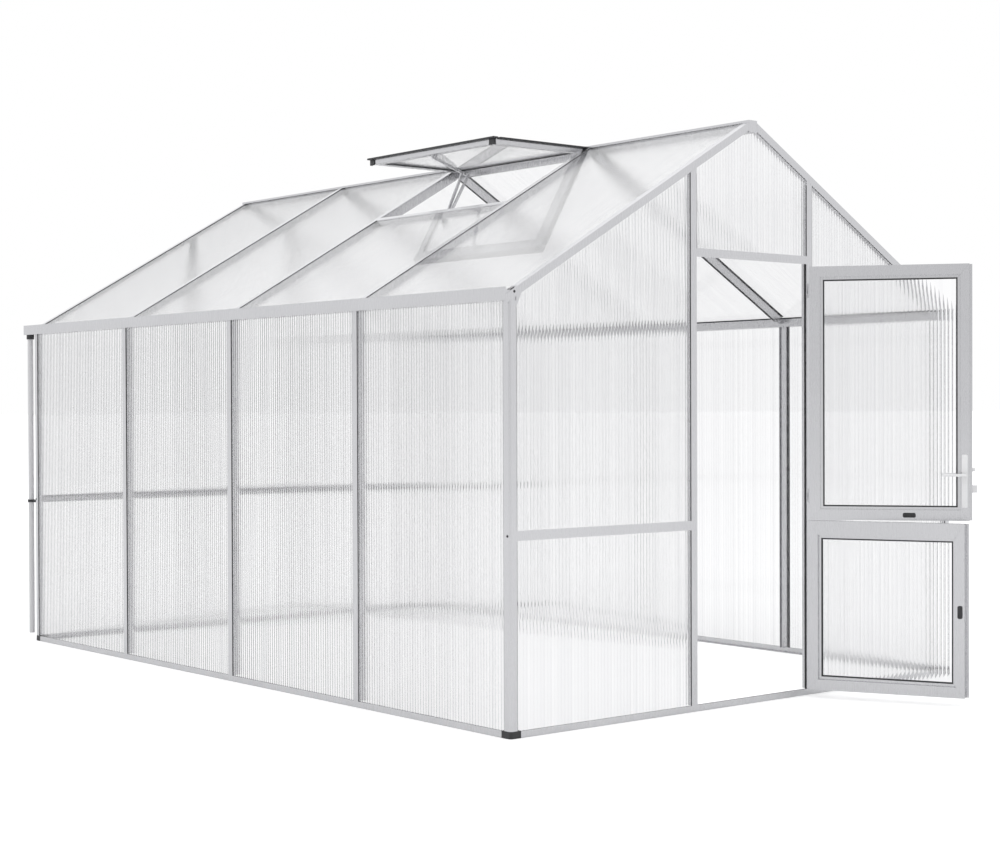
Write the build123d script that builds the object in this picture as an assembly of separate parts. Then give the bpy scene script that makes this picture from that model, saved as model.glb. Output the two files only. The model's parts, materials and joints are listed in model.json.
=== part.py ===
from build123d import *
import os
from math import cos, radians, sin, tan

# A walk-in greenhouse of aluminium profiles glazed with twin-wall sheets.
# Millimetres. +X runs to the right along the door gable as seen from outside, +Y runs into
# the building, +Z is up. The origin is on the ground under the middle of the front base rail.

# Plan and height
bay_count = 4
bay_pitch = 1000.0
end_margin = 10.0
side_bay = 990.0
door_bay = 714.0
gutter_top = 1711.0
roof_pitch = 30.0

# Sheets
sheet = 6.0
sheet_clear = 0.4
seat_clear = 0.3

# Posts, mullions and rafters: a cap outside, a neck between the sheets, a stem inside
cap = 3.0
cap_width = 34.0
neck_width = 12.0
stem_width = 20.0
frame_depth = 36.0

# Corner posts
corner_cap = 36.0
corner_body = 34.0
corner_neck = 27.0
corner_round = 12.0

# Base rails and their corner feet
rail_height = 26.0
rail_depth = 34.0
rail_floor = 3.0
rail_flange = 4.6
sheet_seat = 12.0
foot_size = 53.0
foot_height = 28.0

# Rails across the gables
mid_rail_height = 768.0
mid_rail_face = 38.0
lintel_bottom = 1873.0
lintel_face = 35.0

# Gutters, which carry the lower edge of the roof
gutter_face = 51.0
gutter_out = 15.0
gutter_wall = 3.0
gutter_channel = 45.0
gutter_inner = 12.0
gutter_back = 95.0
gutter_end_cap = 3.0
gutter_roof_lap = 15.0

# Roof: depths are measured square to the slope, down from the top of the rakes and rafters
rake_drop = 28.5
rake_face = 31.0
rake_width = 34.0
rake_slot = 9.0
gable_sheet_lap = 19.0

# Ridge beam
ridge_flat = 25.0
ridge_rise = 10.0
ridge_half = 14.0
ridge_depth = 52.0

# Gusset plates where a rake meets a corner post
gusset_run = 26.0
gusset_fall = 42.0

# Roof vent, a window that stands open
vent_bay = 1
vent_depth = 600.0
vent_reach = 547.0
vent_thick = 22.0
vent_bar = 40.0
vent_near_gap = 18.0
vent_far_gap = 48.0
vent_top_drop = 10.3
vent_sheet_rebate = 8.0
vent_gasket = 5.0
vent_seal = 8.0
vent_seal_out = 14.0
vent_cap_wall = 4.0
vent_cap_front = 30.0
vent_cap_side = 9.0
vent_cap_height = 27.0
vent_sill_width = 24.0
opener_bar = 12.0
opener_plate = 8.0
opener_foot_in = 8.0
opener_foot_drop = 27.0
opener_knee_in = 140.0
opener_knee_rise = 240.0
opener_head_in = 16.0
opener_spread = 0.12

# Downpipes at the back ends of the gutters
pipe_radius = 15.0
pipe_wall = 1.6
pipe_behind = 55.0
pipe_foot = 36.0
pipe_inset = 5.0
socket_radius = 20.0
socket_height = 24.0
clip_height = 756.0
clip_band = 14.0
clip_thick = 4.0

# Door leaves
door_gap = 5.0
door_head_gap = 15.0
door_sill_gap = 7.0
door_split = 765.0
leaf_thick = 38.0
leaf_bar = 57.0
closing_bar = 49.0
closing_lap = 12.0
lap_thick = 3.0
leaf_top_bar = 74.0
leaf_bead = 12.0
leaf_bead_set = 13.0
leaf_web = 16.0
leaf_rebate = 10.0
gasket = 6.0
gasket_thick = 2.6
mitre_gap = 0.3
upper_open_angle = 127.0
lower_open_angle = 115.5

# Hinges on the right-hand door post
hinge_out = 9.0
hinge_height = 60.0
hinge_end = 100.0
barrel_radius = 6.5
pin_radius = 3.0
pin_clear = 0.05
knuckle = 24.0
knuckle_gap = 1.5
hinge_plate = 3.0
hinge_plate_width = 20.0
hinge_plate_set = 7.5

# Lever handle and grips
lever_height = 963.0
plate_drop = 27.0
plate_height = 226.0
plate_width = 24.0
plate_thick = 3.0
plate_round = 6.0
lever_inset = 20.0
spindle_radius = 5.0
spindle_clear = 0.1
spindle_hole = 8.0
lever_neck = 7.0
lever_reach = 45.0
lever_length = 92.0
lever_thick = 12.0
lever_round = 4.0
latch_rise = 21.0
latch_height = 15.0
latch_out = 24.0
bolt_drop = 61.0
bolt_height = 32.0
bolt_out = 32.0
latch_thick = 10.0
grip_length = 54.0
grip_width = 20.0
grip_thick = 4.0
grip_round = 6.5
upper_grip_along = 420.0
lower_grip_height = 393.0

# Values that follow
width = 2 * side_bay + door_bay
length = bay_count * bay_pitch + 2 * end_margin
front = -rail_depth / 2
back = front + length
middle_y = (front + back) / 2
wall = width / 2
post_x = door_bay / 2
slot = cap + sheet + sheet_clear
sheet_edge = neck_width / 2 + sheet_clear
slope_cos = cos(radians(roof_pitch))
slope_sin = sin(radians(roof_pitch))
slope_tan = tan(radians(roof_pitch))
apex = gutter_top - rake_drop + slope_tan * (wall + gutter_out)
gutter_bottom = gutter_top - gutter_face
pipe_x = -wall + pipe_inset
gutter_far = -wall - gutter_out + gutter_wall + gutter_channel + gutter_inner
ridge_top = apex - slope_tan * ridge_flat + ridge_rise
hinge_edge = post_x - cap_width / 2 - door_gap
hinge_x = hinge_edge + door_gap / 2
leaf_front = front - door_gap - lap_thick
hinge_y = leaf_front - hinge_out
leaf_width = door_bay - cap_width - 2 * door_gap
free_edge = hinge_edge - leaf_width
mullion_y = [front + end_margin + bay_pitch * k for k in range(1, bay_count)]

X = Vector(1, 0, 0)
Y = Vector(0, 1, 0)
Z = Vector(0, 0, 1)
inward = Vector(slope_sin, 0, -slope_cos)

parts = {}


def add(name, *solids):
    """Write the solids of one sub-part under its name."""
    parts.setdefault(name, []).extend(solids)


def bar(outline, start, u, v, reach):
    """A straight profile: the outline lies in u and v at the start, and runs along u x v."""
    plane = Plane(origin=start, x_dir=u, z_dir=u.cross(v))
    return extrude(plane * make_face(Polyline(*outline, close=True)), amount=reach)


def block(low, high):
    """A box between its lowest and highest corners."""
    size = [b - a for a, b in zip(low, high)]
    return Pos(*low) * Box(*size, align=(Align.MIN, Align.MIN, Align.MIN))


def other_side(shape):
    """The same piece on the right-hand side."""
    return mirror(shape, about=Plane.YZ)


def other_end(shape):
    """The same piece at the back gable."""
    return mirror(shape, about=Plane.XZ.offset(-middle_y))


def roof_z(run, drop):
    """Height of a roof plane: run is the distance from the ridge line, drop the depth below the top."""
    return apex - slope_tan * abs(run) - drop / slope_cos


def profile(face_width):
    """Cap, neck and stem of a mullion, post, rail or rafter, symmetrical in u."""
    half = [
        (face_width / 2, 0),
        (face_width / 2, cap),
        (neck_width / 2, cap),
        (neck_width / 2, slot),
        (stem_width / 2, slot),
        (stem_width / 2, frame_depth),
    ]
    return half + [(-u, v) for u, v in reversed(half)]


def under_roof(shape, drop):
    """Cut a gable piece off below the given roof planes."""
    run = wall + gutter_out + foot_size
    slopes = [(x, roof_z(x, drop)) for x in (-run, 0, run)]
    outline = slopes + [(run, 2 * apex), (-run, 2 * apex)]
    above = bar(outline, Vector(0, front - foot_size, 0), X, Z, -(length + 2 * foot_size))
    return shape - above


def between_x(shape, low, high):
    """The stretch of a roof piece between two upright planes."""
    reach = 2 * length
    return shape & block((low, -reach, 0), (high, reach, 2 * apex))


def base_rails():
    """Four rails round the foot, each a floor with two upstands that hold the sheets."""
    outline = [
        (0, 0),
        (rail_depth, 0),
        (rail_depth, rail_floor),
        (slot + rail_flange, rail_floor),
        (slot + rail_flange, rail_height),
        (slot, rail_height),
        (slot, sheet_seat),
        (cap, sheet_seat),
        (cap, rail_height),
        (0, rail_height),
    ]
    side = bar(outline, Vector(-wall, back - foot_size, 0), X, Z, length - 2 * foot_size)
    gable = bar(outline, Vector(-wall + foot_size, front, 0), Y, Z, width - 2 * foot_size)
    add("base_rails", side, other_side(side), gable, other_end(gable))


def corner_feet():
    """Moulded corner pieces that join the base rails."""
    foot = block((-wall, front, 0), (-wall + foot_size, front + foot_size, foot_height))
    outer = foot.edges().filter_by(Axis.Z).sort_by_distance(Vector(-wall, front, foot_height / 2))[0]
    foot = fillet(outer, corner_round)
    start = corner_neck
    foot_x = -wall + foot_size
    foot_y = front + foot_size
    foot = foot - block((-wall + cap, front + start, sheet_seat), (-wall + slot, foot_y, foot_height))
    foot = foot - block((-wall + start, front + cap, sheet_seat), (foot_x, front + slot, foot_height))
    add("corner_feet", foot, other_side(foot), other_end(foot), other_side(other_end(foot)))


def corner_posts():
    """Posts with a rounded outer corner and a slot for the sheet of each wall."""
    outline = [
        (0, 0),
        (corner_cap, 0),
        (corner_cap, cap),
        (corner_neck, cap),
        (corner_neck, slot),
        (corner_body, slot),
        (corner_body, corner_body),
        (slot, corner_body),
        (slot, corner_neck),
        (cap, corner_neck),
        (cap, corner_cap),
        (0, corner_cap),
    ]
    post = bar(outline, Vector(-wall, front, foot_height), X, Y, gutter_bottom - foot_height)
    outer = post.edges().filter_by(Axis.Z).sort_by_distance(Vector(-wall, front, gutter_bottom / 2))[0]
    post = fillet(outer, corner_round)
    add("corner_posts", post, other_side(post), other_end(post), other_side(other_end(post)))


def side_mullions():
    """Three mullions in each long wall, from the base rail to the gutter."""
    for y in mullion_y:
        mullion = bar(profile(cap_width), Vector(-wall, y, rail_height), -Y, X, gutter_bottom - rail_height)
        add("side_mullions", mullion, other_side(mullion))


def side_sheets():
    """One sheet to each bay of the long walls."""
    low_z = sheet_seat + seat_clear
    high_z = gutter_bottom - seat_clear
    edges = [front + corner_neck] + mullion_y + [back - corner_neck]
    for k in range(bay_count):
        low_y = edges[k] + (sheet_clear if k == 0 else sheet_edge)
        high_y = edges[k + 1] - (sheet_clear if k == bay_count - 1 else sheet_edge)
        pane = block((-wall + cap, low_y, low_z), (-wall + cap + sheet, high_y, high_z))
        add("left_wall_sheets", pane)
        add("right_wall_sheets", other_side(pane))


def gutters():
    """Open channels along the eaves. The inner wall carries the roof sheets at the roof's slope."""
    outer = -wall - gutter_out
    inner = outer + gutter_wall + gutter_channel
    far = gutter_far
    outline = [
        (outer, gutter_bottom),
        (far, gutter_bottom),
        (far, roof_z(far, slot)),
        (inner, roof_z(inner, slot)),
        (inner, gutter_bottom + gutter_wall),
        (outer + gutter_wall, gutter_bottom + gutter_wall),
        (outer + gutter_wall, gutter_top),
        (outer, gutter_top),
    ]
    start = front + cap
    gutter = bar(outline, Vector(0, back + gutter_back, 0), X, Z, back + gutter_back - start)
    hole = Pos(pipe_x, back + pipe_behind, gutter_bottom) * Cylinder(pipe_radius - pipe_wall, 4 * gutter_wall)
    gutter = gutter - hole
    end_cap = block(
        (outer + gutter_wall, back + gutter_back - gutter_end_cap, gutter_bottom + gutter_wall),
        (inner, back + gutter_back, gutter_top),
    )
    near_cap = block(
        (outer + gutter_wall, start, gutter_bottom + gutter_wall),
        (inner, start + gutter_end_cap, roof_z(inner, slot)),
    )
    gutter = gutter + end_cap + near_cap
    add("left_gutter", gutter)
    add("right_gutter", other_side(gutter))


def ridge():
    """The ridge beam: a flat top that laps the rafters, and a web between the two slopes.
    A plate closes each end, between the tops of the rakes."""
    outline = [
        (ridge_flat, ridge_top),
        (ridge_flat, roof_z(ridge_flat, 0)),
        (ridge_half, roof_z(ridge_half, 0)),
        (ridge_half, ridge_top - ridge_depth),
    ]
    outline = outline + [(-x, z) for x, z in reversed(outline)]
    add("ridge_beam", bar(outline, Vector(0, back - cap, 0), X, Z, length - 2 * cap))
    plate = block((-ridge_flat, front, ridge_top - ridge_depth), (ridge_flat, front + cap, ridge_top))
    add("ridge_end_plates", plate, other_end(plate))


def rakes():
    """The sloping edge profiles of both gables: a face on the gable and a box over the roof sheets."""
    outline = [
        (0, 0),
        (rake_width, 0),
        (rake_width, cap),
        (rake_width - rake_slot, cap),
        (rake_width - rake_slot, slot),
        (rake_width, slot),
        (rake_width, rake_face),
        (slot, rake_face),
        (slot, gable_sheet_lap - seat_clear),
        (cap, gable_sheet_lap - seat_clear),
        (cap, rake_face),
        (0, rake_face),
    ]
    run = wall + gutter_out
    whole = bar(outline, Vector(0, front, apex), Y, inward, (run + rake_face) / slope_cos)
    rake = between_x(whole, -run, -ridge_flat - seat_clear)
    eave = -wall - gutter_out - rake_face
    rake = rake - block((eave, front + cap, 0), (gutter_far + seat_clear, middle_y, apex))
    back_rake = other_end(rake - block((eave, front, 0), (gutter_far + seat_clear, middle_y, apex)))
    add("front_rakes", rake, other_side(rake))
    add("back_rakes", back_rake, other_side(back_rake))


def rafters():
    """Three rafters on each slope, in line with the mullions."""
    for y in mullion_y:
        whole = bar(profile(cap_width), Vector(0, y, apex), Y, inward, wall / slope_cos)
        rafter = between_x(whole, gutter_far + seat_clear, -ridge_half - seat_clear)
        add("rafters", rafter, other_side(rafter))


def roof_sheet(low_y, high_y, low_x, high_x):
    """One sheet of the left slope between two upright planes."""
    under = cap + sheet
    outline = [(low_y, cap), (high_y, cap), (high_y, under), (low_y, under)]
    whole = bar(outline, Vector(0, 0, apex), Y, inward, (wall + gutter_out) / slope_cos)
    return between_x(whole, low_x, high_x)


def roof_sheets():
    """Four sheets on each slope. The one under the vent stops at the vent's sill."""
    rake_neck = rake_width - rake_slot
    edges = [front + rake_neck] + mullion_y + [back - rake_neck]
    low_x = -wall - gutter_out + gutter_wall + gutter_channel - gutter_roof_lap
    high_x = -ridge_half - seat_clear
    for k in range(bay_count):
        low_y = edges[k] + (sheet_clear if k == 0 else sheet_edge)
        high_y = edges[k + 1] - (sheet_clear if k == bay_count - 1 else sheet_edge)
        vent_x = -vent_depth * slope_cos
        add("left_roof_sheets", roof_sheet(low_y, high_y, low_x, vent_x if k == vent_bay else high_x))
        add("right_roof_sheets", other_side(roof_sheet(low_y, high_y, low_x, high_x)))


def gable_posts():
    """Two posts in each gable, from the base rail to the rakes."""
    for x in (-post_x, post_x):
        tall = bar(profile(cap_width), Vector(x, front, rail_height), X, Y, apex)
        post = under_roof(tall, rake_face + seat_clear)
        add("front_door_posts", post)
        add("back_gable_posts", other_end(post))


def gable_rails():
    """Mid rails between the posts of both gables, and the lintel over the doorway."""
    side_low = -wall + corner_cap
    side_reach = side_bay - corner_cap - cap_width / 2
    side = bar(profile(mid_rail_face), Vector(side_low, front, mid_rail_height), -Z, Y, side_reach)
    add("front_mid_rails", side, other_side(side))
    add("back_mid_rails", other_end(side), other_side(other_end(side)))
    bay_low = -post_x + cap_width / 2
    bay_reach = door_bay - cap_width
    centre = bar(profile(mid_rail_face), Vector(bay_low, front, mid_rail_height), -Z, Y, bay_reach)
    add("back_mid_rails", other_end(centre))
    lintel_middle = lintel_bottom + lintel_face / 2
    lintel = bar(profile(lintel_face), Vector(bay_low, front, lintel_middle), -Z, Y, bay_reach)
    add("door_lintel", lintel)


def gable_sheets():
    """Sheets of both gables, cut to the slope at the top."""
    neck = neck_width / 2
    low_z = sheet_seat + seat_clear
    side_low = -wall + corner_neck + sheet_clear
    side_high = -post_x - sheet_edge
    bay_half = post_x - sheet_edge

    def pane(low_x, high_x, low, high):
        tall = block((low_x, front + cap, low), (high_x, front + cap + sheet, high))
        gutter_zone = block(
            (-2 * wall, front, gutter_bottom - seat_clear), (gutter_far + seat_clear, back, 2 * apex)
        )
        web = ridge_half + seat_clear
        web_bottom = ridge_top - ridge_depth - seat_clear
        tall = tall - gutter_zone - block((-web, front, web_bottom), (web, back, 2 * apex))
        return under_roof(tall, gable_sheet_lap)

    below = mid_rail_height - neck - sheet_clear
    above = mid_rail_height + neck + sheet_clear
    over_lintel = lintel_bottom + lintel_face / 2 + neck + sheet_clear
    lower = pane(side_low, side_high, low_z, below)
    upper = pane(side_low, side_high, above, 2 * apex)
    for piece in (lower, upper):
        add("front_gable_sheets", piece, other_side(piece))
        add("back_gable_sheets", other_end(piece), other_side(other_end(piece)))
    add("front_gable_sheets", pane(-bay_half, bay_half, over_lintel, 2 * apex))
    add("back_gable_sheets", other_end(pane(-bay_half, bay_half, low_z, below)))
    add("back_gable_sheets", other_end(pane(-bay_half, bay_half, above, 2 * apex)))


def gussets():
    """Small plates in the corner between each corner post and its rake."""
    edge = -wall + corner_cap
    top = roof_z(edge, rake_face)
    tip = edge + gusset_run
    outline = [(edge, top), (edge, top - gusset_fall), (tip, roof_z(tip, rake_face))]
    plate = bar(outline, Vector(0, front + cap, 0), X, Z, cap)
    gutter_zone = block(
        (-2 * wall, front, gutter_bottom - seat_clear), (gutter_far + seat_clear, middle_y, apex)
    )
    back_plate = other_end(plate - gutter_zone)
    add("eave_gussets", plate, other_side(plate), back_plate, other_side(back_plate))


def roof_vent():
    """The open vent: sill, leaf of four bars, sheet, edge seal, corner caps and opener."""
    low_y = mullion_y[vent_bay - 1] + vent_near_gap
    high_y = mullion_y[vent_bay] - vent_far_gap
    top = ridge_top - vent_top_drop
    under = top - vent_thick
    hinge_x = -ridge_half
    free_x = -ridge_flat - vent_reach

    sill_gap = cap_width / 2 + seat_clear
    sill_y = (mullion_y[vent_bay - 1] + sill_gap, mullion_y[vent_bay] - sill_gap)
    sill_outline = [
        (sill_y[0], 0),
        (sill_y[1], 0),
        (sill_y[1], frame_depth),
        (sill_y[0], frame_depth),
    ]
    sill = bar(sill_outline, Vector(0, 0, apex), Y, inward, wall / slope_cos)
    sill_x = -vent_depth * slope_cos + seat_clear
    add("vent_sill", between_x(sill, sill_x, sill_x + vent_sill_width * slope_cos))

    for a, b in ((low_y, low_y + vent_bar), (high_y - vent_bar, high_y)):
        add("vent_frame", block((free_x + vent_bar, a, under), (hinge_x - vent_bar, b, top)))
    for a, b in ((free_x, free_x + vent_bar - mitre_gap), (hinge_x - vent_bar + mitre_gap, hinge_x)):
        add("vent_frame", block((a, low_y, under), (b, high_y, top)))
    edge = vent_bar + seat_clear
    pane_bottom = under + vent_sheet_rebate
    pane_low = (free_x + edge, low_y + edge, pane_bottom)
    pane_high = (hinge_x - edge, high_y - edge, pane_bottom + sheet)
    add("vent_sheet", block(pane_low, pane_high))
    ring_low = (free_x + vent_bar, low_y + vent_bar, pane_bottom - vent_gasket)
    ring_high = (hinge_x - vent_bar, high_y - vent_bar, pane_bottom)
    edge = vent_bar + vent_gasket
    hole = block((free_x + edge, low_y + edge, 0), (hinge_x - edge, high_y - edge, top))
    add("vent_seal", block(ring_low, ring_high) - hole)

    seal_top = top + vent_seal
    out = vent_seal_out
    add("vent_seal", block((free_x - out, low_y - out, top), (free_x + out, high_y + out, seal_top)))
    for y in (low_y, high_y):
        seal_high = (-ridge_flat - 2 * seat_clear, y + out, seal_top)
        add("vent_seal", block((free_x + 2 * out, y - out, top), seal_high))
    leaf = block((free_x, low_y, 0), (hinge_x, high_y, seal_top))
    cap_reach = vent_cap_front + vent_cap_wall
    for start in (low_y - vent_cap_wall, high_y + vent_cap_wall - cap_reach):
        cap_low = (free_x - vent_cap_wall, start, top - vent_cap_height)
        cap_high = (free_x + vent_cap_side, start + cap_reach, top)
        add("vent_corner_caps", block(cap_low, cap_high) - leaf)

    sill_in = sill_x + vent_sill_width * slope_cos
    sill_under = roof_z(sill_in, frame_depth)
    middle = (low_y + high_y) / 2
    foot = (sill_in + opener_foot_in, sill_under - opener_foot_drop)
    knee = (foot[0] + opener_knee_in, foot[1] + opener_knee_rise)
    head = (free_x + opener_head_in, under - opener_bar)
    joint = [a + opener_spread * (b - a) for a, b in zip(knee, head)]
    half = opener_plate / 2
    bracket_low = (sill_in, middle - half, foot[1] - opener_bar)
    bracket_high = (foot[0] + half, middle + half, roof_z(sill_in, 0))
    opener = block(bracket_low, bracket_high)
    opener = opener + link(foot, knee, middle - half - opener_plate, middle - half)
    opener = opener + link(foot, joint, middle + half, middle + half + opener_plate)
    opener = opener + link(knee, head, middle - half, middle + half)
    shoe = block((head[0], middle - half, head[1]), (head[0] + 2 * opener_bar, middle + half, under))
    add("vent_opener", opener + shoe)


def link(a, b, low_y, high_y):
    """A flat bar with round ends between two pivots, given as (x, z)."""
    run = Vector(b[0] - a[0], 0, b[1] - a[1])
    half = opener_bar / 2
    thick = high_y - low_y
    outline = [(-half, 0), (half, 0), (half, thick), (-half, thick)]
    piece = bar(outline, Vector(a[0], low_y, a[1]), Y.cross(run.normalized()), Y, run.length)
    for x, z in (a, b):
        piece = piece + Pos(x, low_y + thick / 2, z) * Rot(90, 0, 0) * Cylinder(half, thick)
    return piece


def downpipes():
    """Pipes from the gutters' back ends, with their sockets and clips."""
    y = back + pipe_behind
    top = gutter_bottom
    tall = top - pipe_foot
    tube = Cylinder(pipe_radius, tall) - Cylinder(pipe_radius - pipe_wall, 2 * tall)
    pipe = Pos(pipe_x, y, pipe_foot + tall / 2) * tube
    add("downpipes", pipe, other_side(pipe))
    bore = pipe_radius + sheet_clear / 2
    ring = Cylinder(socket_radius, socket_height) - Cylinder(bore, 2 * socket_height)
    socket = Pos(pipe_x, y, top - socket_height / 2) * ring
    add("pipe_fittings", socket, other_side(socket))
    band = Cylinder(pipe_radius + clip_thick, clip_band) - Cylinder(bore, 2 * clip_band)
    band = Pos(pipe_x, y, clip_height) * band
    arm_low = (pipe_x - clip_thick, back, clip_height - clip_band / 2)
    arm_high = (pipe_x + clip_thick, y - pipe_radius - clip_thick / 2, clip_height + clip_band / 2)
    clip = band + block(arm_low, arm_high)
    add("pipe_fittings", clip, other_side(clip))


def swung(shape, angle):
    """Turn a piece of a closed leaf about the hinge line to its place at rest."""
    axis = Axis((hinge_x, hinge_y, 0), (0, 0, 1))
    return shape.rotate(axis, angle)


def leaf_frame(low, high, top_bar):
    """Four mitred bars round a sheet, with a bead inside and a gasket on each face of the sheet.
    The closing stile has a lap that covers the gap to the door post."""
    hinge_in = hinge_edge - leaf_bar
    free_in = free_edge + closing_bar
    low_in = low + leaf_bar
    high_in = high - top_bar
    gap = mitre_gap
    slot_end = leaf_web + sheet + sheet_clear
    bead = leaf_thick - leaf_bead_set

    def side(face, start, u, reach, zone):
        outline = [
            (0, 0),
            (face, 0),
            (face, leaf_web),
            (face - leaf_rebate, leaf_web),
            (face - leaf_rebate, slot_end),
            (face, slot_end),
            (face, bead),
            (face - leaf_bead, bead),
            (face - leaf_bead, leaf_thick),
            (0, leaf_thick),
        ]
        whole = bar(outline, Vector(*start), u, Y, reach)
        return whole & bar(zone, Vector(0, leaf_front + leaf_thick, 0), X, Z, leaf_thick)

    foot_zone = [(free_edge, low), (hinge_edge, low), (hinge_in, low_in), (free_in, low_in)]
    head_zone = [(free_edge, high), (hinge_edge, high), (hinge_in, high_in), (free_in, high_in)]
    stile_low = (low + gap, low_in + gap)
    stile_high = (high_in - gap, high - gap)

    def stile_zone(outer, inner):
        return [(outer, stile_low[0]), (inner, stile_low[1]), (inner, stile_high[0]), (outer, stile_high[1])]

    bars = [
        side(leaf_bar, (hinge_edge, leaf_front, low), Z, leaf_width, foot_zone),
        side(top_bar, (free_edge, leaf_front, high), -Z, leaf_width, head_zone),
        side(closing_bar, (free_edge, leaf_front, low), X, high - low, stile_zone(free_edge, free_in)),
        side(leaf_bar, (hinge_edge, leaf_front, high), -X, high - low, stile_zone(hinge_edge, hinge_in)),
    ]
    lap_low = (free_edge - closing_lap, leaf_front, low + gap)
    bars[2] = bars[2] + block(lap_low, (free_edge, leaf_front + lap_thick, high - gap))
    seat = leaf_rebate - sheet_clear
    pane = block(
        (free_in - seat, leaf_front + leaf_web, low_in - seat),
        (hinge_in + seat, leaf_front + leaf_web + sheet, high_in + seat),
    )
    rings = []
    for y in (leaf_front + leaf_web - gasket_thick, leaf_front + leaf_web + sheet):
        ring = block((free_in, y, low_in), (hinge_in, y + gasket_thick, high_in))
        hole_low = (free_in + gasket, y - gasket, low_in + gasket)
        hole_high = (hinge_in - gasket, y + 2 * gasket, high_in - gasket)
        rings.append(ring - block(hole_low, hole_high))
    return bars, pane, rings


def hinge_site(z):
    """The two halves of one hinge: the door's half, and the post's half with the pin."""
    mid = Pos(hinge_x, hinge_y, z)
    outer = (hinge_height - knuckle) / 2 - knuckle_gap
    step = knuckle / 2 + knuckle_gap + outer / 2
    bore = Cylinder(pin_radius + pin_clear, 2 * hinge_height)
    post_depth = front - hinge_y

    def web(side, depth, height, at):
        middle = side * (hinge_plate_set + door_gap / 2) / 2
        return Pos(middle, depth / 2, at) * Box(hinge_plate_set - door_gap / 2, depth, height)

    def plate(side, depth):
        x = side * (hinge_plate_set + hinge_plate_width / 2)
        return Pos(x, depth - hinge_plate / 2, 0) * Box(hinge_plate_width, hinge_plate, hinge_height)

    door = plate(-1, hinge_out) + web(-1, hinge_out, knuckle, 0) + Cylinder(barrel_radius, knuckle) - bore
    post = plate(1, post_depth) + Cylinder(pin_radius, hinge_height)
    for at in (-step, step):
        post = post + web(1, post_depth, outer, at) + Pos(0, 0, at) * Cylinder(barrel_radius, outer)
    return mid * door, mid * post


def lever():
    """Lever, spindle and the lever outside, as one piece on the upper leaf."""
    x = free_edge + lever_inset
    spindle = Cylinder(spindle_radius, leaf_thick + 2 * lever_reach)
    whole = Pos(x, leaf_front + leaf_thick / 2, lever_height) * Rot(90, 0, 0) * spindle
    for y, side in ((leaf_front, -1), (leaf_front + leaf_thick, 1)):
        start = y + side * (plate_thick + seat_clear)
        end = y + side * lever_reach
        turned = Pos(x, (start + end) / 2, lever_height) * Rot(90, 0, 0)
        neck = turned * Cylinder(lever_neck, abs(end - start))
        low = (x - lever_thick / 2, end - lever_thick / 2, lever_height - lever_thick / 2)
        high = (x + lever_length, end + lever_thick / 2, lever_height + lever_thick / 2)
        grip = block(low, high)
        grip = fillet(grip.edges().filter_by(Axis.X), lever_round)
        whole = whole + neck + grip
    return whole


def latch(middle, height, out):
    """A latch that reaches from the outer plate past the edge of the closed leaf."""
    start = free_edge + lever_inset - plate_width / 4
    low = middle - height / 2
    return block((free_edge - out, leaf_front - latch_thick, low), (start, leaf_front, low + height))


def door():
    """Both leaves of the stable door, their hinges, the handle and the grips."""
    upper_low = door_split + door_gap / 2
    upper_high = lintel_bottom - door_head_gap
    lower_low = rail_height + door_sill_gap
    lower_high = door_split - door_gap / 2
    leaves = (
        ("upper_door", upper_low, upper_high, leaf_bar, upper_open_angle),
        ("lower_door", lower_low, lower_high, leaf_top_bar, lower_open_angle),
    )
    x = free_edge + lever_inset
    lever_place = Pos(x, leaf_front + leaf_thick / 2, lever_height) * Rot(90, 0, 0)
    hole = lever_place * Cylinder(spindle_hole, 2 * leaf_thick)
    for name, low, high, top_bar, angle in leaves:
        bars, pane, rings = leaf_frame(low, high, top_bar)
        if name == "upper_door":
            bars[2] = bars[2] - hole
        add(name + "_frame", *[swung(piece, angle) for piece in bars])
        add(name + "_sheet", swung(pane, angle))
        add(name + "_gaskets", *[swung(piece, angle) for piece in rings])
        for z in (low + hinge_end, high - hinge_end):
            door_half, post_half = hinge_site(z)
            add(name + "_hinges", swung(door_half, angle))
            add("post_hinges", post_half)

    bore = lever_place * Cylinder(spindle_radius + spindle_clear, 2 * leaf_thick)
    half = plate_width / 2
    low = lever_height - plate_drop - plate_height / 2
    for y in (leaf_front - plate_thick, leaf_front + leaf_thick):
        plate = block((x - half, y, low), (x + half, y + plate_thick, low + plate_height))
        plate = fillet(plate.edges().filter_by(Axis.Y), plate_round) - bore
        if y < leaf_front:
            plate = plate + latch(lever_height + latch_rise, latch_height, latch_out)
            plate = plate + latch(lever_height - bolt_drop, bolt_height, bolt_out)
        add("handle_plates", swung(plate, upper_open_angle))
    add("door_lever", swung(lever(), upper_open_angle))

    inside = leaf_front + leaf_thick
    along = hinge_edge - upper_grip_along
    upper_middle = upper_low + (leaf_bar - leaf_bead) / 2
    upper = Pos(along, inside + grip_thick / 2, upper_middle) * Box(grip_length, grip_thick, grip_width)
    upper = fillet(upper.edges().filter_by(Axis.Y), grip_round)
    across = free_edge + (closing_bar - leaf_bead) / 2
    lower = Pos(across, inside + grip_thick / 2, lower_grip_height) * Box(grip_width, grip_thick, grip_length)
    lower = fillet(lower.edges().filter_by(Axis.Y), grip_round)
    add("upper_door_grip", swung(upper, upper_open_angle))
    add("lower_door_grip", swung(lower, lower_open_angle))


base_rails()
corner_feet()
corner_posts()
side_mullions()
side_sheets()
gutters()
ridge()
rakes()
rafters()
roof_sheets()
gable_posts()
gable_rails()
gable_sheets()
gussets()
roof_vent()
downpipes()
door()

os.makedirs("parts", exist_ok=True)
for name, solids in parts.items():
    whole = Compound(children=[solid for piece in solids for solid in piece.solids()])
    export_step(whole, "parts/" + name + ".step")
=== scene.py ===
import json
import math

import bmesh
import bpy
from mathutils import Matrix, Vector

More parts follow.
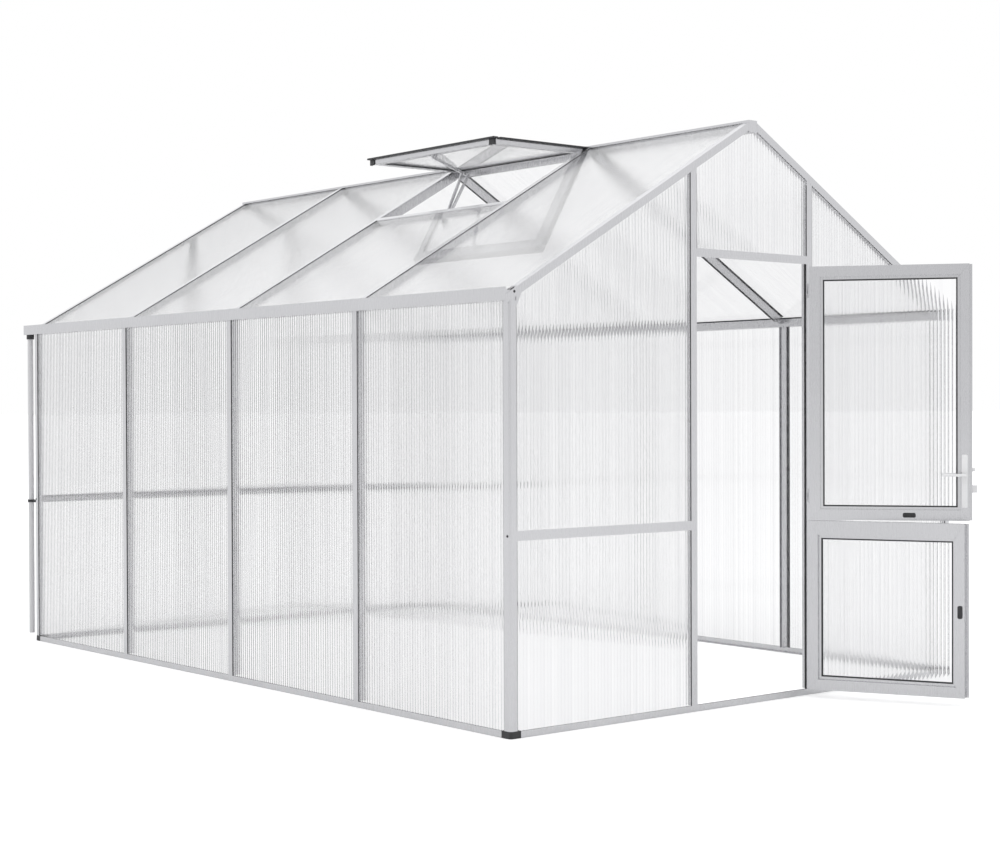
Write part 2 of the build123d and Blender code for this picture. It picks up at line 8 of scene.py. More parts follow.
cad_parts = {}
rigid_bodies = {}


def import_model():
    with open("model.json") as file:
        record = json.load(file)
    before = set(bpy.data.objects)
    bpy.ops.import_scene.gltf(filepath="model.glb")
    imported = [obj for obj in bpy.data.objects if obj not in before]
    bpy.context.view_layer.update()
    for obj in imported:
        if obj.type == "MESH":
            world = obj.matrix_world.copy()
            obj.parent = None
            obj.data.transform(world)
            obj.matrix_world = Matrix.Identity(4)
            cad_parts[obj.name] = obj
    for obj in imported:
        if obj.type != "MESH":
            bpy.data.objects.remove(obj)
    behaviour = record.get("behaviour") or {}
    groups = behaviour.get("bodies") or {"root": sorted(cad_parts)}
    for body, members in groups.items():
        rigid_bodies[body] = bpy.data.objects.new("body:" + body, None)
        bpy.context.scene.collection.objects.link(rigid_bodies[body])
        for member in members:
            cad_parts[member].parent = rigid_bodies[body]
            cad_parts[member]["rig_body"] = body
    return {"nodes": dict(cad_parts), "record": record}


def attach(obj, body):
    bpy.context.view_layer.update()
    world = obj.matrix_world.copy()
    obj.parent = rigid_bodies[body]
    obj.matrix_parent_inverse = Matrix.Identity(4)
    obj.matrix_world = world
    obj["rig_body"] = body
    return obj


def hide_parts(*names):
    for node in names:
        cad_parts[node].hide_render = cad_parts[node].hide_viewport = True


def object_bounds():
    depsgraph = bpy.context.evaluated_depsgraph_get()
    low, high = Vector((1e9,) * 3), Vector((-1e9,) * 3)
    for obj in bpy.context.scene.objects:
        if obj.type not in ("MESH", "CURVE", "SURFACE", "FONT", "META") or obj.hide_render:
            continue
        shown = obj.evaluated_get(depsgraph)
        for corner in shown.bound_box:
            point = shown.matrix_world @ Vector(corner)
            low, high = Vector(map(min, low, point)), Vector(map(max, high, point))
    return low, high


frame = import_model()
cad_box = [list(corner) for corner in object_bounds()]
nodes = frame["nodes"]
body_of = {name: obj["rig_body"] for name, obj in nodes.items()}
slot_of = {row["node"]: row["material_slot"] for row in frame["record"]["subparts"]}
middle_y = (cad_box[0][1] + cad_box[1][1]) / 2
building_body = "frame"

# The camera, fitted to the corners of the object, with its angles in degrees
camera_place = Vector((-5.860, -5.415, 1.254))
camera_yaw = 39.61
camera_pitch = -0.65
camera_roll = -0.20
image_width = 1000
focal_pixels = 1865.9
sensor_width = 36.0

# Twin-wall sheets: the faces sink between the ribs, which bends what is seen through them.
# Edges sharper than the angle, in degrees, are shaded as edges
rib_pitch = 0.0175
wall_dip = 0.0007
door_dip = 0.00042
flat_dip = 0.00004
sharp_angle = 6
channel_layer = "channels"

# Steps across each rib, and lengths along it, of upright sheets and of sheets in the roof
upright_steps = 8
upright_lengths = 1
roof_steps = 2
roof_lengths = 6
step_beside_corner = 0.00002

# How near two places or directions are when they count as the same
weld_distance = 1e-6
same_place = 1e-4
no_width = 1e-9
same_facing = 0.02
facing_digits = 2
area_digits = 4
corner_digits = 6

# How far inside a sheet's end its outline is measured, which is more than the corners' rounding
inside_edge = 2e-6

# A sheet lies in the roof if this much of its normal is upright
roof_facing = 0.5

# Light in the sheets: how much it bends, and the share of the mirror image that the roof shows
sheet_ior = 1.5
mirror_share = 0.62

# Surfaces: the size of patches, the range of noise that shows, and the height of the grain
patch_scale = 3.0
grain_range = (0.3, 0.7)
grain_height = 0.0004
all_round = (1, 1, 1)

# Dark lines beside the caps of posts and bars; those along the rakes and rafters are painted shadow of
# the gap between bar and roof sheet. Those of the gables stop short of the posts' tops.
# A roof sheet's edge is within the reach of the bar that holds it
cap_depth = 0.003
line_width = 0.0026
roof_line_width = 0.0013
line_rise = 0.0018
post_trim = 0.022
sheet_reach = 0.03

# The track along the inside of each mullion and rafter
stem_half = 0.010
lip_width = 0.003
lip_depth = 0.013
track_foot_gap = 0.013
track_head_gap = 0.026

# Black strips of painted shade round the doorway and of painted shadow under the roof's lower edge, and
# beads on the gutters' inner faces
shade_strip_width = 0.007
shade_strip_thick = 0.003
shade_strip_back = 0.013
bead_height = 0.007
bead_depth = 0.004
bead_end_gap = 0.03

# Black caps over the bolts at the corners
button_radius = 0.0055
button_taper = 0.75
button_rise = 0.002
button_segments = 20
button_in = 0.014
eave_button_in = 0.027
eave_button_up = 0.034

# The floor, and how much it glows: to the camera, beside the object and far away, where 1 is white. The
# glow beside the object, fading far away, is a painted pool of light in place of a lamp
floor_half = 400.0
floor_drop = 0.0006
floor_colour = (0.83, 0.83, 0.83, 1)
floor_seen = 0.32
pool_light_near = 0.10
pool_light_far = 0.05
glow_start = 3.0
glow_end = 26.0

# The studio's light, where 1 is white: it rises from the horizon upwards, and is lower behind the camera
white = (1, 1, 1, 1)
studio_colour = (0.99, 0.992, 1, 1)
level_low = 1.015
level_high = 1.30
low_height = 0.15
high_height = 0.55
level_behind = 0.81
studio_ahead = (0.64, 0.77, 0)
behind_range = (-0.9, -0.3)


def node_in(tree, kind, **values):
    """Add a shader node and set its plain input values by name."""
    made = tree.nodes.new(kind)
    for name, value in values.items():
        made.inputs[name.replace("_", " ")].default_value = value
    return made


def new_material(name):
    """An empty node material with its output node."""
    material = bpy.data.materials.new(name)
    material.use_nodes = True
    tree = material.node_tree
    tree.nodes.clear()
    output = tree.nodes.new("ShaderNodeOutputMaterial")
    return material, tree, output


def mixed_colour(tree, factor, colours):
    """A colour between two, by a factor socket."""
    mix = tree.nodes.new("ShaderNodeMix")
    mix.data_type = "RGBA"
    tree.links.new(factor, mix.inputs["Factor"])
    for name, colour in zip("AB", colours):
        mix.inputs[name].default_value = (*colour, 1)
    return mix.outputs["Result"]


def mixed_shader(tree, factor, first, second):
    """Two shaders mixed by a factor socket: 0 gives the first, 1 the second."""
    mix = tree.nodes.new("ShaderNodeMixShader")
    tree.links.new(factor, mix.inputs["Fac"])
    tree.links.new(first, mix.inputs[1])
    tree.links.new(second, mix.inputs[2])
    return mix.outputs["Shader"]


def ranged(tree, value, source, target):
    """A value mapped from one range to another, clamped."""
    made = node_in(
        tree, "ShaderNodeMapRange",
        From_Min=source[0], From_Max=source[1], To_Min=target[0], To_Max=target[1],
    )
    tree.links.new(value, made.inputs["Value"])
    return made.outputs["Result"]


def combined(tree, operation, *sockets):
    """What a math node makes of one or two sockets."""
    made = tree.nodes.new("ShaderNodeMath")
    made.operation = operation
    for place, socket in enumerate(sockets):
        tree.links.new(socket, made.inputs[place])
    return made.outputs["Value"]


def noise(tree, scale, stretch):
    """Noise over the object's own coordinates, stretched along its axes."""
    place = tree.nodes.new("ShaderNodeTexCoord")
    mapping = node_in(tree, "ShaderNodeMapping", Scale=stretch)
    made = node_in(tree, "ShaderNodeTexNoise", Scale=scale, Detail=0.0)
    tree.links.new(place.outputs["Object"], mapping.inputs["Vector"])
    tree.links.new(mapping.outputs["Vector"], made.inputs["Vector"])
    return made.outputs["Fac"]


def solid_material(name, colours, metallic, roughness, grain, stretch, bump):
    """A surface whose colour, roughness and grain vary a little."""
    material, tree, output = new_material(name)
    shader = node_in(tree, "ShaderNodeBsdfPrincipled", Metallic=metallic)
    broad = noise(tree, patch_scale, all_round)
    fine = noise(tree, grain, stretch)
    tree.links.new(mixed_colour(tree, broad, colours), shader.inputs["Base Color"])
    tree.links.new(ranged(tree, fine, grain_range, roughness), shader.inputs["Roughness"])
    lift = node_in(tree, "ShaderNodeBump", Strength=bump, Distance=grain_height)
    tree.links.new(fine, lift.inputs["Height"])
    tree.links.new(lift.outputs["Normal"], shader.inputs["Normal"])
    tree.links.new(shader.outputs["BSDF"], output.inputs["Surface"])
    return material


def lets_light_through(tree, shader, tint):
    """A shader for what is seen, and clear plastic for shadows and soft light."""
    clear = tree.nodes.new("ShaderNodeBsdfTransparent")
    tree.links.new(tint, clear.inputs["Color"])
    path = tree.nodes.new("ShaderNodeLightPath")
    soft = combined(tree, "MAXIMUM", path.outputs["Is Shadow Ray"], path.outputs["Is Diffuse Ray"])
    return mixed_shader(tree, soft, shader, clear.outputs["BSDF"])


def streaked_tint(tree, tints):
    """A tint that changes a little from channel to channel."""
    place = tree.nodes.new("ShaderNodeUVMap")
    place.uv_map = channel_layer
    split = tree.nodes.new("ShaderNodeSeparateXYZ")
    made = tree.nodes.new("ShaderNodeTexWhiteNoise")
    made.noise_dimensions = "1D"
    tree.links.new(place.outputs["UV"], split.inputs["Vector"])
    tree.links.new(combined(tree, "FLOOR", split.outputs["X"]), made.inputs["W"])
    return mixed_colour(tree, made.outputs["Value"], tints)


def sheet_material(name, tints, rough):
    """Clear plastic that bends what is seen through it, and lets soft light straight through."""
    material, tree, output = new_material(name)
    shader = node_in(tree, "ShaderNodeBsdfGlass", Roughness=rough, IOR=sheet_ior)
    tint = streaked_tint(tree, tints)
    tree.links.new(tint, shader.inputs["Color"])
    seen = lets_light_through(tree, shader.outputs["BSDF"], tint)
    tree.links.new(seen, output.inputs["Surface"])
    return material


def hazy_material(name, tints, haze):
    """A sheet with a glossy skin that blurs what lies behind it."""
    material, tree, output = new_material(name)
    tint = streaked_tint(tree, tints)
    behind = node_in(tree, "ShaderNodeBsdfRefraction", Roughness=haze, IOR=sheet_ior)
    mirror = node_in(tree, "ShaderNodeBsdfAnisotropic", Roughness=0.0)
    tree.links.new(tint, behind.inputs["Color"])
    edge = node_in(tree, "ShaderNodeFresnel", IOR=sheet_ior)
    share = ranged(tree, edge.outputs["Fac"], (0.0, 1.0), (0.0, mirror_share))
    skin = mixed_shader(tree, share, behind.outputs["BSDF"], mirror.outputs["BSDF"])
    tree.links.new(lets_light_through(tree, skin, tint), output.inputs["Surface"])
    return material


# Clear sheets
wall_sheet = sheet_material(
    "twin_wall_sheet", tints=((0.935, 0.935, 0.937), (0.97, 0.97, 0.97)), rough=0.02
)
gable_sheet = sheet_material(
    "gable_sheet", tints=((0.965, 0.965, 0.967), (0.99, 0.99, 0.99)), rough=0.02
)
door_sheet = sheet_material(
    "door_pane", tints=((0.985, 0.985, 0.987), (1.0, 1.0, 1.0)), rough=0.0
)
roof_sheet = hazy_material(
    "roof_sheet", tints=((0.965, 0.965, 0.967), (0.98, 0.98, 0.98)), haze=0.12
)

# Metal, plastic and rubber
finish = {
    "aluminium": solid_material(
        "aluminium", colours=((0.56, 0.56, 0.575), (0.60, 0.60, 0.615)), metallic=0.95,
        roughness=(0.20, 0.28), grain=900.0, stretch=(1, 1, 0.02), bump=0.1,
    ),
    "black_plastic": solid_material(
        "black_plastic", colours=((0.018, 0.018, 0.02), (0.03, 0.03, 0.033)), metallic=0.0,
        roughness=(0.4, 0.6), grain=500.0, stretch=all_round, bump=0.3,
    ),
    "gasket_rubber": solid_material(
        "gasket_rubber", colours=((0.02, 0.02, 0.021), (0.035, 0.035, 0.037)), metallic=0.0,
        roughness=(0.6, 0.8), grain=700.0, stretch=all_round, bump=0.3,
    ),
    "white_plastic": solid_material(
        "white_plastic", colours=((0.74, 0.74, 0.75), (0.80, 0.80, 0.80)), metallic=0.0,
        roughness=(0.2, 0.3), grain=400.0, stretch=all_round, bump=0.05,
    ),
    "grey_pipe": solid_material(
        "grey_pipe", colours=((0.55, 0.55, 0.56), (0.62, 0.62, 0.63)), metallic=0.0,
        roughness=(0.3, 0.42), grain=300.0, stretch=(1, 1, 0.05), bump=0.1,
    ),
}


def new_piece(name, shape, material, body):
    """Turn a built shape into a piece that rides on a body."""
    mesh = bpy.data.meshes.new(name)
    shape.to_mesh(mesh)
    shape.free()
    mesh.materials.append(material)
    piece = bpy.data.objects.new(name, mesh)
    bpy.context.scene.collection.objects.link(piece)
    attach(piece, body)
    return piece


def islands(obj):
    """The separate solids of a mesh, each as a list of faces with welded vertices."""
    mesh = bmesh.new()
    mesh.from_mesh(obj.data)
    bmesh.ops.remove_doubles(mesh, verts=mesh.verts, dist=weld_distance)
    seen = set()
    found = []
    for first in mesh.faces:
        if first in seen:
            continue
        seen.add(first)
        group = [first]
        # The loop also runs over the faces that it appends
        for face in group:
            for side in face.edges:
                for other in side.link_faces:
                    if other not in seen:
                        seen.add(other)
                        group.append(other)
        found.append(group)
    found.sort(key=lambda group: min(tuple(v.co) for face in group for v in face.verts))
    return mesh, found


def face_outline(group):
    """The broad plane of a sheet: its normal, a point on it, its thickness and the edges round it."""
    area = {}
    for face in group:
        facing = tuple(round(c, facing_digits) for c in face.normal)
        area[facing] = area.get(facing, 0) + face.calc_area()
    widest = max(area, key=lambda facing: (round(area[facing], area_digits), facing))
    broad = [face for face in group if (face.normal - Vector(widest)).length < same_facing]
    normal = broad[0].normal.copy()
    origin = broad[0].verts[0].co.copy()
    depth = max((origin - v.co).dot(normal) for face in group for v in face.verts)
    members = set(broad)
    sides = [e for face in broad for e in face.edges if sum(f in members for f in e.link_faces) == 1]
    return normal, origin, depth, [(e.verts[0].co.copy(), e.verts[1].co.copy()) for e in sides]


def span_at(segments, u):
    """Lowest and highest v where a line at u, along the ribs, crosses the outline."""
    hits = []
    for (u0, v0), (u1, v1) in segments:
        if min(u0, u1) <= u <= max(u0, u1) and abs(u1 - u0) > no_width:
            hits.append(v0 + (v1 - v0) * (u - u0) / (u1 - u0))
    return min(hits), max(hits)


def cut_places(corners, step):
    """Where a sheet is cut across its ribs: at both ends, at each step and just beside each corner."""
    low, high = corners[0], corners[-1]
    places = {low, high}
    places.update(low + step * k for k in range(1, int((high - low) / step)))
    for u in corners[1:-1]:
        places.update((u - step_beside_corner, u + step_beside_corner))
    return sorted(places)


def ribbed_sheet(target, uv, group, deepest):
    """One sheet with sunken channels on both faces, cut to the outline of the plain one."""
    normal, origin, depth, sides = face_outline(group)
    in_roof = abs(normal.z) > roof_facing
    steps = roof_steps if in_roof else upright_steps
    lengths = roof_lengths if in_roof else upright_lengths
    rib = Vector((1, 0, 0)) if in_roof else Vector((0, 0, 1))
    rib = (rib - normal * rib.dot(normal)).normalized()
    across = rib.cross(normal)
    flat = [[((p - origin).dot(across), (p - origin).dot(rib)) for p in side] for side in sides]
    corners = sorted({round(p[0], corner_digits) for side in flat for p in side})
    low, high = corners[0], corners[-1]
    rows = []
    for u in cut_places(corners, rib_pitch / steps):
        inside = min(max(u, low + inside_edge), high - inside_edge)
        foot, head = span_at(flat, inside)
        channel = (u - low) / rib_pitch
        # The face sinks in a parabola, which is deepest halfway between two ribs
        along = channel % 1
        dip = 4 * deepest * along * (1 - along)
        row = []
        for into in (dip, depth - dip):
            for k in range(lengths + 1):
                v = foot + (head - foot) * k / lengths
                place = origin + across * u + rib * v - normal * into
                row.append((target.verts.new(place), (channel, v)))
        rows.append(row)
    # Each row runs up the outer face, then up the inner one
    last = 2 * lengths + 1
    ring = list(range(lengths + 1)) + list(range(last, lengths, -1))
    for a, b in zip(rows, rows[1:]):
        for i, j in zip(ring, ring[1:] + ring[:1]):
            add_face(target, uv, (a[i], b[i], b[j], a[j]))
    add_face(target, uv, [rows[0][i] for i in reversed(ring)])
    add_face(target, uv, [rows[-1][i] for i in ring])


def add_face(target, uv, corners):
    """A smooth face with a channel coordinate at each corner."""
    face = target.faces.new([vert for vert, _ in corners])
    face.smooth = True
    for loop, (_, coordinate) in zip(face.loops, corners):
        loop[uv].uv = coordinate


def sharpen(shape, degrees):
    """Mark edges sharper than an angle, so that flat ends stay flat."""
    limit = math.radians(degrees)
    for edge in shape.edges:
        if len(edge.link_faces) == 2 and edge.calc_face_angle(0) > limit:
            edge.smooth = False


def make_sheets(node, material, deepest):
    """All the sheets of a node as one ribbed mesh that stands for it."""
    source, groups = islands(nodes[node])
    target = bmesh.new()
    uv = target.loops.layers.uv.new(channel_layer)
    for group in groups:
        ribbed_sheet(target, uv, group, deepest)
    source.free()
    bmesh.ops.recalc_face_normals(target, faces=target.faces)
    target.normal_update()
    sharpen(target, sharp_angle)
    piece = new_piece(node + "_ribbed", target, material, body_of[node])
    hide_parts(node)


def dress(obj, material):
    """Give every face of an object one material."""
    obj.data.materials.clear()
    obj.data.materials.append(material)


def dress_nodes():
    """Ribbed sheets in place of the plain ones, and a material on every other node."""
    for node, obj in nodes.items():
        if "roof_sheets" in node:
            make_sheets(node, roof_sheet, flat_dip)
        elif node == "vent_sheet":
            make_sheets(node, gable_sheet, flat_dip)
        elif "door_sheet" in node:
            make_sheets(node, door_sheet, door_dip)
        elif "gable_sheets" in node:
            make_sheets(node, gable_sheet, wall_dip)
        elif "wall_sheets" in node:
            make_sheets(node, wall_sheet, wall_dip)
        else:
            dress(obj, finish[slot_of[node]])


def add_bar(target, start, end, across, out, sideways, outwards):
    """A straight bar from start to end, between two distances along across and two along out."""
    left, right = sideways
    inner, outer = outwards
    outline = ((left, inner), (right, inner), (right, outer), (left, outer))
    near, far = (
        [target.verts.new(place + across * i + out * j) for i, j in outline]
        for place in (start, end)
    )
    target.faces.new(near)
    target.faces.new(list(reversed(far)))
    for a, b in zip(range(4), (1, 2, 3, 0)):
        target.faces.new((near[a], near[b], far[b], far[a]))


def add_line(lines, start, end, across, out, sideways):
    """A dark line, sunk below the outer face of the cap beside it."""
    add_bar(lines, start, end, across, out, sideways, (-cap_depth, line_rise - cap_depth))


def add_lips(tracks, start, end, across, out, deep):
    """The two lips of a track. The bar's inner face is deep below the line from start to end."""
    for turn in (-1, 1):
        lip = sorted((turn * stem_half, turn * (stem_half - lip_width)))
        add_bar(tracks, start, end, across, out, lip, (-deep - lip_depth, -deep))


def add_button(target, centre, out):
    """A low round cap on a face that looks along out."""
    turn = out.to_track_quat("Z", "Y").to_matrix().to_4x4()
    place = Matrix.Translation(centre + out * button_rise / 2) @ turn
    bmesh.ops.create_cone(
        target, cap_ends=True, segments=button_segments, radius1=button_radius,
        radius2=button_radius * button_taper, depth=button_rise, matrix=place,
    )


def solids_of(node):
    """The vertex places of each solid of a node."""
    source, groups = islands(nodes[node])
    found = [[v.co.copy() for face in group for v in face.verts] for group in groups]
    source.free()
    return found


def box_of(places):
    """Lowest and highest corner of some places."""
    low = Vector(min(p[k] for p in places) for k in range(3))
    high = Vector(max(p[k] for p in places) for k in range(3))
    return low, high


def sign_of(value):
    """1 for a positive value, else -1."""
    return 1 if value > 0 else -1


def outer_inner(low, high, side):
    """The outer and the inner end of a range, for a piece on that side of the building."""
    return (high, low) if side > 0 else (low, high)


def top_line(places, y):
    """The top edge of a sloping bar, from its eave end to its ridge end, at one y."""
    low, high = box_of(places)
    ends = []
    for x in (low.x, high.x):
        top = max(p.z for p in places if abs(p.x - x) < same_place)
        ends.append(Vector((x, y, top)))
    ends.sort(key=lambda end: end.z)
    return ends


def upward(start, end):
    """The direction square to a sloping line, in its upright plane, that looks up."""
    out = (end - start).normalized().cross(Vector((0, 1, 0)))
    return out if out.z > 0 else -out


def mullion_details(lines, tracks):
    """Dark lines beside the caps, and tracks, of the side mullions."""
    across = Vector((0, 1, 0))
    for places in solids_of("side_mullions"):
        low, high = box_of(places)
        side = sign_of(high.x)
        outer, _ = outer_inner(low.x, high.x, side)
        middle = (low.y + high.y) / 2
        half = (high.y - low.y) / 2
        start = Vector((outer, middle, low.z))
        end = Vector((outer, middle, high.z))
        out = Vector((side, 0, 0))
        for turn in (-1, 1):
            line = sorted((turn * half, turn * (half + line_width)))
            add_line(lines, start, end, across, out, line)
        add_lips(tracks, start, end, across, out, high.x - low.x)


def rafter_tracks(tracks):
    """The tracks along the undersides of the rafters, which stop short of the eave and the ridge."""
    for places in solids_of("rafters"):
        low, high = box_of(places)
        start, end = top_line(places, (low.y + high.y) / 2)
        out = upward(start, end)
        drop = start.z - min(p.z for p in places if abs(p.x - start.x) < same_place)
        uphill = (end - start).normalized()
        foot = start + uphill * track_foot_gap
        head = end - uphill * track_head_gap
        add_lips(tracks, foot, head, Vector((0, 1, 0)), out, drop * out.z)


def line_beside(lines, places, y, turn, sheet_ends):
    """A dark line of painted shadow along one side of a sloping bar, as far as the roof sheet reaches.
    """
    foot, head = top_line(places, y)
    run = head - foot
    shares = sorted((x - foot.x) / run.x for x in sheet_ends)
    start = foot + run * max(shares[0], 0)
    end = foot + run * min(shares[1], 1)
    line = sorted((0, turn * roof_line_width))
    add_line(lines, start, end, Vector((0, 1, 0)), upward(foot, head), line)


def roof_lines(lines):
    """Dark lines of painted shadow where a roof sheet meets a rafter or a rake of its own slope."""
    bars = []
    for node in ("rafters", "front_rakes", "back_rakes"):
        bars.extend((*box_of(places), places) for places in solids_of(node))
    for node in ("left_roof_sheets", "right_roof_sheets"):
        for sheet in solids_of(node):
            sheet_low, sheet_high = box_of(sheet)
            sheet_ends = (sheet_low.x, sheet_high.x)
            for low, high, places in bars:
                if (low.x + high.x) * sum(sheet_ends) < 0:
                    continue
                # Each line here is painted shadow of the gap beside the bar
                if abs(sheet_low.y - high.y) <= sheet_reach:
                    line_beside(lines, places, high.y, 1, sheet_ends)
                if abs(sheet_high.y - low.y) <= sheet_reach:
                    line_beside(lines, places, low.y, -1, sheet_ends)


def corner_post_lines(lines):
    """A dark line on each wall beside the corner posts."""
    for places in solids_of("corner_posts"):
        low, high = box_of(places)
        side = sign_of(high.x)
        end_side = sign_of(high.y - middle_y)
        outer_x, inner_x = outer_inner(low.x, high.x, side)
        outer_y, inner_y = outer_inner(low.y, high.y, end_side)
        outwards = Vector((side, 0, 0))
        endwards = Vector((0, end_side, 0))
        for out, across, x, y in (
            (outwards, -endwards, outer_x, inner_y),
            (endwards, -outwards, inner_x, outer_y),
        ):
            start = Vector((x, y, low.z))
            end = Vector((x, y, high.z))
            add_line(lines, start, end, across, out, (0, line_width))


def gable_post_lines(lines):
    """A dark line on each side of the gables' posts, but not beside the doorway."""
    _, lintel_high = box_of(solids_of("door_lintel")[0])
    for node, end_side in (("front_door_posts", -1), ("back_gable_posts", 1)):
        for places in solids_of(node):
            low, high = box_of(places)
            outer, _ = outer_inner(low.y, high.y, end_side)
            middle = (low.x + high.x) / 2
            half = (high.x - low.x) / 2
            for turn in (-1, 1):
                beside_doorway = end_side < 0 and turn * middle < 0
                foot = lintel_high.z if beside_doorway else low.z
                start = Vector((middle, outer, foot))
                end = Vector((middle, outer, high.z - post_trim))
                across = Vector((turn, 0, 0))
                add_line(lines, start, end, across, Vector((0, end_side, 0)), (half, half + line_width))


def doorway_shade_strips(shade_strips):
    """Black strips along the jambs and under the lintel, as painted shade on the doorway's inner faces.
    """
    lintel_low, lintel_high = box_of(solids_of("door_lintel")[0])
    ahead = Vector((0, 1, 0))
    stem_z = (lintel_low.z + lintel_high.z) / 2 - stem_half
    back = (shade_strip_back, shade_strip_back + shade_strip_width)
    inner_edges = []
    for places in solids_of("front_door_posts"):
        low, high = box_of(places)
        middle = (low.x + high.x) / 2
        side = sign_of(middle)
        stem_x = middle - side * stem_half
        inner_edges.append(stem_x)
        start = Vector((stem_x, low.y, low.z))
        end = Vector((stem_x, low.y, stem_z))
        # A black strip of painted shade on the jamb's inner face
        add_bar(shade_strips, start, end, ahead, Vector((-side, 0, 0)), back, (0, shade_strip_thick))
    start, end = (Vector((x, lintel_low.y, stem_z)) for x in sorted(inner_edges))
    # A black strip of painted shade under the lintel
    add_bar(shade_strips, start, end, ahead, Vector((0, 0, -1)), back, (0, shade_strip_thick))


def gutter_details(tracks, shade_strips):
    """Two beads along the inner face of each gutter, and a black strip under the roof sheets that paints
    the shadow in the gap there.
    """
    posts_low, posts_high = box_of([p for places in solids_of("corner_posts") for p in places])
    up = Vector((0, 0, 1))
    for node, side in (("left_gutter", -1), ("right_gutter", 1)):
        places = solids_of(node)[0]
        low, high = box_of(places)
        _, inner = outer_inner(low.x, high.x, side)
        top = max(p.z for p in places if abs(p.x - inner) < same_place)
        shade_strip_bottom = top - bead_height
        start = Vector((inner, posts_low.y + bead_end_gap, 0))
        end = Vector((inner, posts_high.y - bead_end_gap, 0))
        inwards = Vector((-side, 0, 0))
        for bottom in (low.z, shade_strip_bottom - bead_height):
            add_bar(tracks, start, end, up, inwards, (bottom, bottom + bead_height), (0, bead_depth))
        # A black strip of painted shadow under the roof sheets' lower edge
        add_bar(shade_strips, start, end, up, inwards, (shade_strip_bottom, top), (0, shade_strip_thick))


def corner_buttons(buttons):
    """Black caps over the bolts of the mid rails and at the eaves."""
    rail_low, rail_high = box_of(solids_of("front_mid_rails")[0])
    rail_z = (rail_low.z + rail_high.z) / 2
    for places in solids_of("corner_posts"):
        low, high = box_of(places)
        side = sign_of(high.x)
        end_side = sign_of(high.y - middle_y)
        outer_x, _ = outer_inner(low.x, high.x, side)
        outer_y, _ = outer_inner(low.y, high.y, end_side)
        rail_end = Vector((outer_x, outer_y - end_side * button_in, rail_z))
        eave = Vector((outer_x - side * eave_button_in, outer_y, high.z + eave_button_up))
        add_button(buttons, rail_end, Vector((side, 0, 0)))
        add_button(buttons, eave, Vector((0, end_side, 0)))


def make_details():
    """The small pieces that are left to the scene, all fixed to the building's frame."""
    lines, tracks, shade_strips, buttons = (bmesh.new() for _ in range(4))
    mullion_details(lines, tracks)
    rafter_tracks(tracks)
    roof_lines(lines)
    corner_post_lines(lines)
    gable_post_lines(lines)
    doorway_shade_strips(shade_strips)
    gutter_details(tracks, shade_strips)
    corner_buttons(buttons)
    for name, shape, slot in (
        # Dark lines beside the caps, of which those in the roof are painted shadow
        ("glazing_lines", lines, "gasket_rubber"),
        ("bar_tracks", tracks, "aluminium"),
        # Black strips of painted shade round the doorway and under the roof sheets
        ("frame_seals", shade_strips, "gasket_rubber"),
        ("corner_buttons", buttons, "black_plastic"),
    ):
        bmesh.ops.recalc_face_normals(shape, faces=shape.faces)
        new_piece(name, shape, finish[slot], building_body)


def make_camera():
    """The camera at the place and angle that were fitted to the object."""
    yaw, pitch, roll = (math.radians(a) for a in (camera_yaw, camera_pitch, camera_roll))
    ahead = Vector((math.sin(yaw) * math.cos(pitch), math.cos(yaw) * math.cos(pitch), math.sin(pitch)))
    level_right = Vector((math.cos(yaw), -math.sin(yaw), 0))
    level_up = level_right.cross(ahead)
    right = level_right * math.cos(roll) + level_up * math.sin(roll)
    up = level_up * math.cos(roll) - level_right * math.sin(roll)
    turn = Matrix((right, up, -ahead)).transposed().to_4x4()
    data = bpy.data.cameras.new("camera")
    data.sensor_width = sensor_width
    data.lens = focal_pixels / image_width * sensor_width
    camera = bpy.data.objects.new("camera", data)
    camera.matrix_world = Matrix.Translation(camera_place) @ turn
    bpy.context.scene.collection.objects.link(camera)
    bpy.context.scene.camera = camera


def floor_material():
    """A pale surface that glows a little, as a painted pool of light near the object in place of a lamp,
    and more to the camera, so that it shows as white.
    """
    material, tree, output = new_material("floor")
    diffuse = node_in(tree, "ShaderNodeBsdfDiffuse", Color=floor_colour)
    glow = node_in(tree, "ShaderNodeEmission", Color=white)
    place = tree.nodes.new("ShaderNodeTexCoord")
    away = tree.nodes.new("ShaderNodeVectorMath")
    away.operation = "LENGTH"
    tree.links.new(place.outputs["Object"], away.inputs[0])
    # A painted pool of light: the floor glows more near the object than far away
    near = ranged(tree, away.outputs["Value"], (glow_start, glow_end), (pool_light_near, pool_light_far))
    path = tree.nodes.new("ShaderNodeLightPath")
    seen = ranged(tree, path.outputs["Is Camera Ray"], (0.0, 1.0), (0.0, floor_seen))
    tree.links.new(combined(tree, "MAXIMUM", near, seen), glow.inputs["Strength"])
    both = tree.nodes.new("ShaderNodeAddShader")
    tree.links.new(diffuse.outputs["BSDF"], both.inputs[0])
    tree.links.new(glow.outputs["Emission"], both.inputs[1])
    tree.links.new(both.outputs["Shader"], output.inputs["Surface"])
    return material


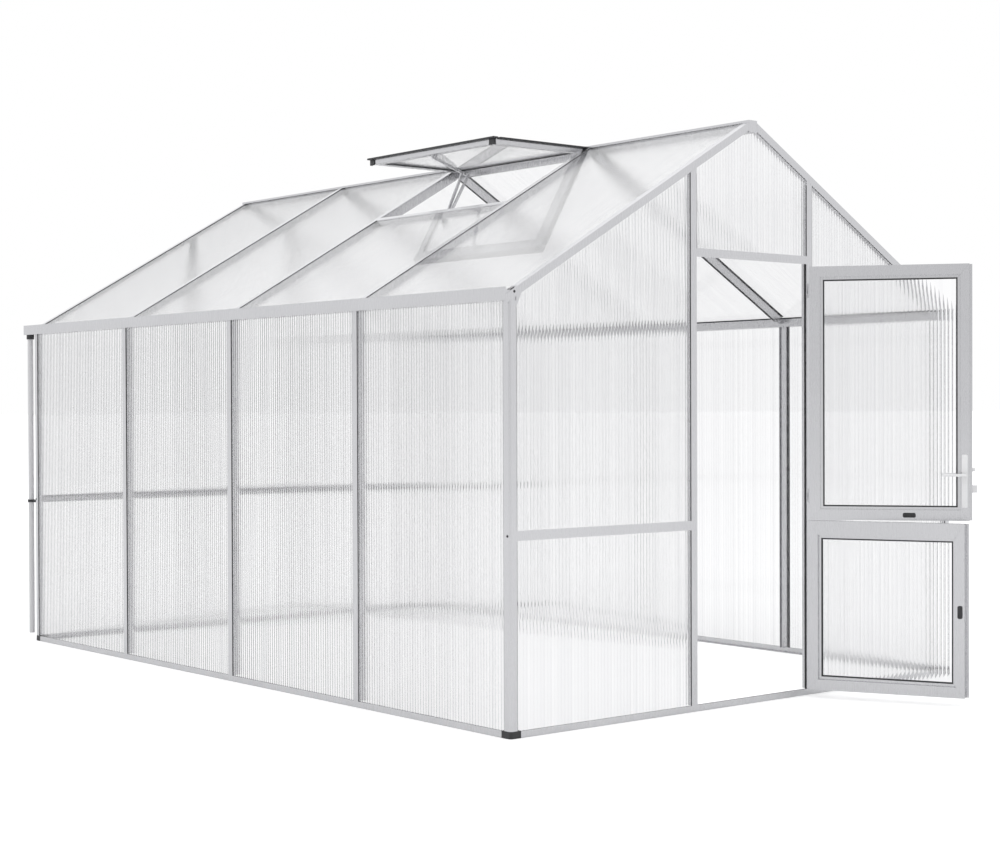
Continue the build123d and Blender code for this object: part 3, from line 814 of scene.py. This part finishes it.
def make_floor():
    """A wide floor that keeps a faint shadow."""
    mesh = bpy.data.meshes.new("floor")
    corners = [
        (-floor_half, -floor_half, -floor_drop),
        (floor_half, -floor_half, -floor_drop),
        (floor_half, floor_half, -floor_drop),
        (-floor_half, floor_half, -floor_drop),
    ]
    mesh.from_pydata(corners, [], [(0, 1, 2, 3)])
    mesh.materials.append(floor_material())
    floor = bpy.data.objects.new("floor", mesh)
    bpy.context.scene.collection.objects.link(floor)


def make_world():
    """White behind the object, and soft grey studio walls in what it mirrors and bends."""
    world = bpy.data.worlds.new("studio")
    bpy.context.scene.world = world
    world.use_nodes = True
    world.cycles.sampling_method = "NONE"
    tree = world.node_tree
    tree.nodes.clear()
    output = tree.nodes.new("ShaderNodeOutputWorld")
    place = tree.nodes.new("ShaderNodeTexCoord")
    split = tree.nodes.new("ShaderNodeSeparateXYZ")
    tree.links.new(place.outputs["Generated"], split.inputs["Vector"])
    level = ranged(tree, split.outputs["Z"], (low_height, high_height), (level_low, level_high))
    aim = tree.nodes.new("ShaderNodeVectorMath")
    aim.operation = "DOT_PRODUCT"
    aim.inputs[1].default_value = studio_ahead
    tree.links.new(place.outputs["Generated"], aim.inputs[0])
    dimming = ranged(tree, aim.outputs["Value"], behind_range, (level_behind, 1.0))
    studio = node_in(tree, "ShaderNodeBackground", Color=studio_colour)
    tree.links.new(combined(tree, "MULTIPLY", level, dimming), studio.inputs["Strength"])
    backdrop = node_in(tree, "ShaderNodeBackground", Color=white, Strength=1.0)
    path = tree.nodes.new("ShaderNodeLightPath")
    shown = mixed_shader(
        tree, path.outputs["Is Camera Ray"], studio.outputs["Background"], backdrop.outputs["Background"]
    )
    tree.links.new(shown, output.inputs["Surface"])


def limit_bounces(cycles):
    """Few bounces of soft light, and enough for a view through several sheets."""
    cycles.max_bounces = 9
    cycles.diffuse_bounces = 1
    cycles.glossy_bounces = 3
    cycles.transmission_bounces = 9
    cycles.transparent_max_bounces = 24


dress_nodes()
make_details()
make_camera()
make_floor()
make_world()
limit_bounces(bpy.context.scene.cycles)
bpy.context.scene.view_settings.view_transform = "Standard"
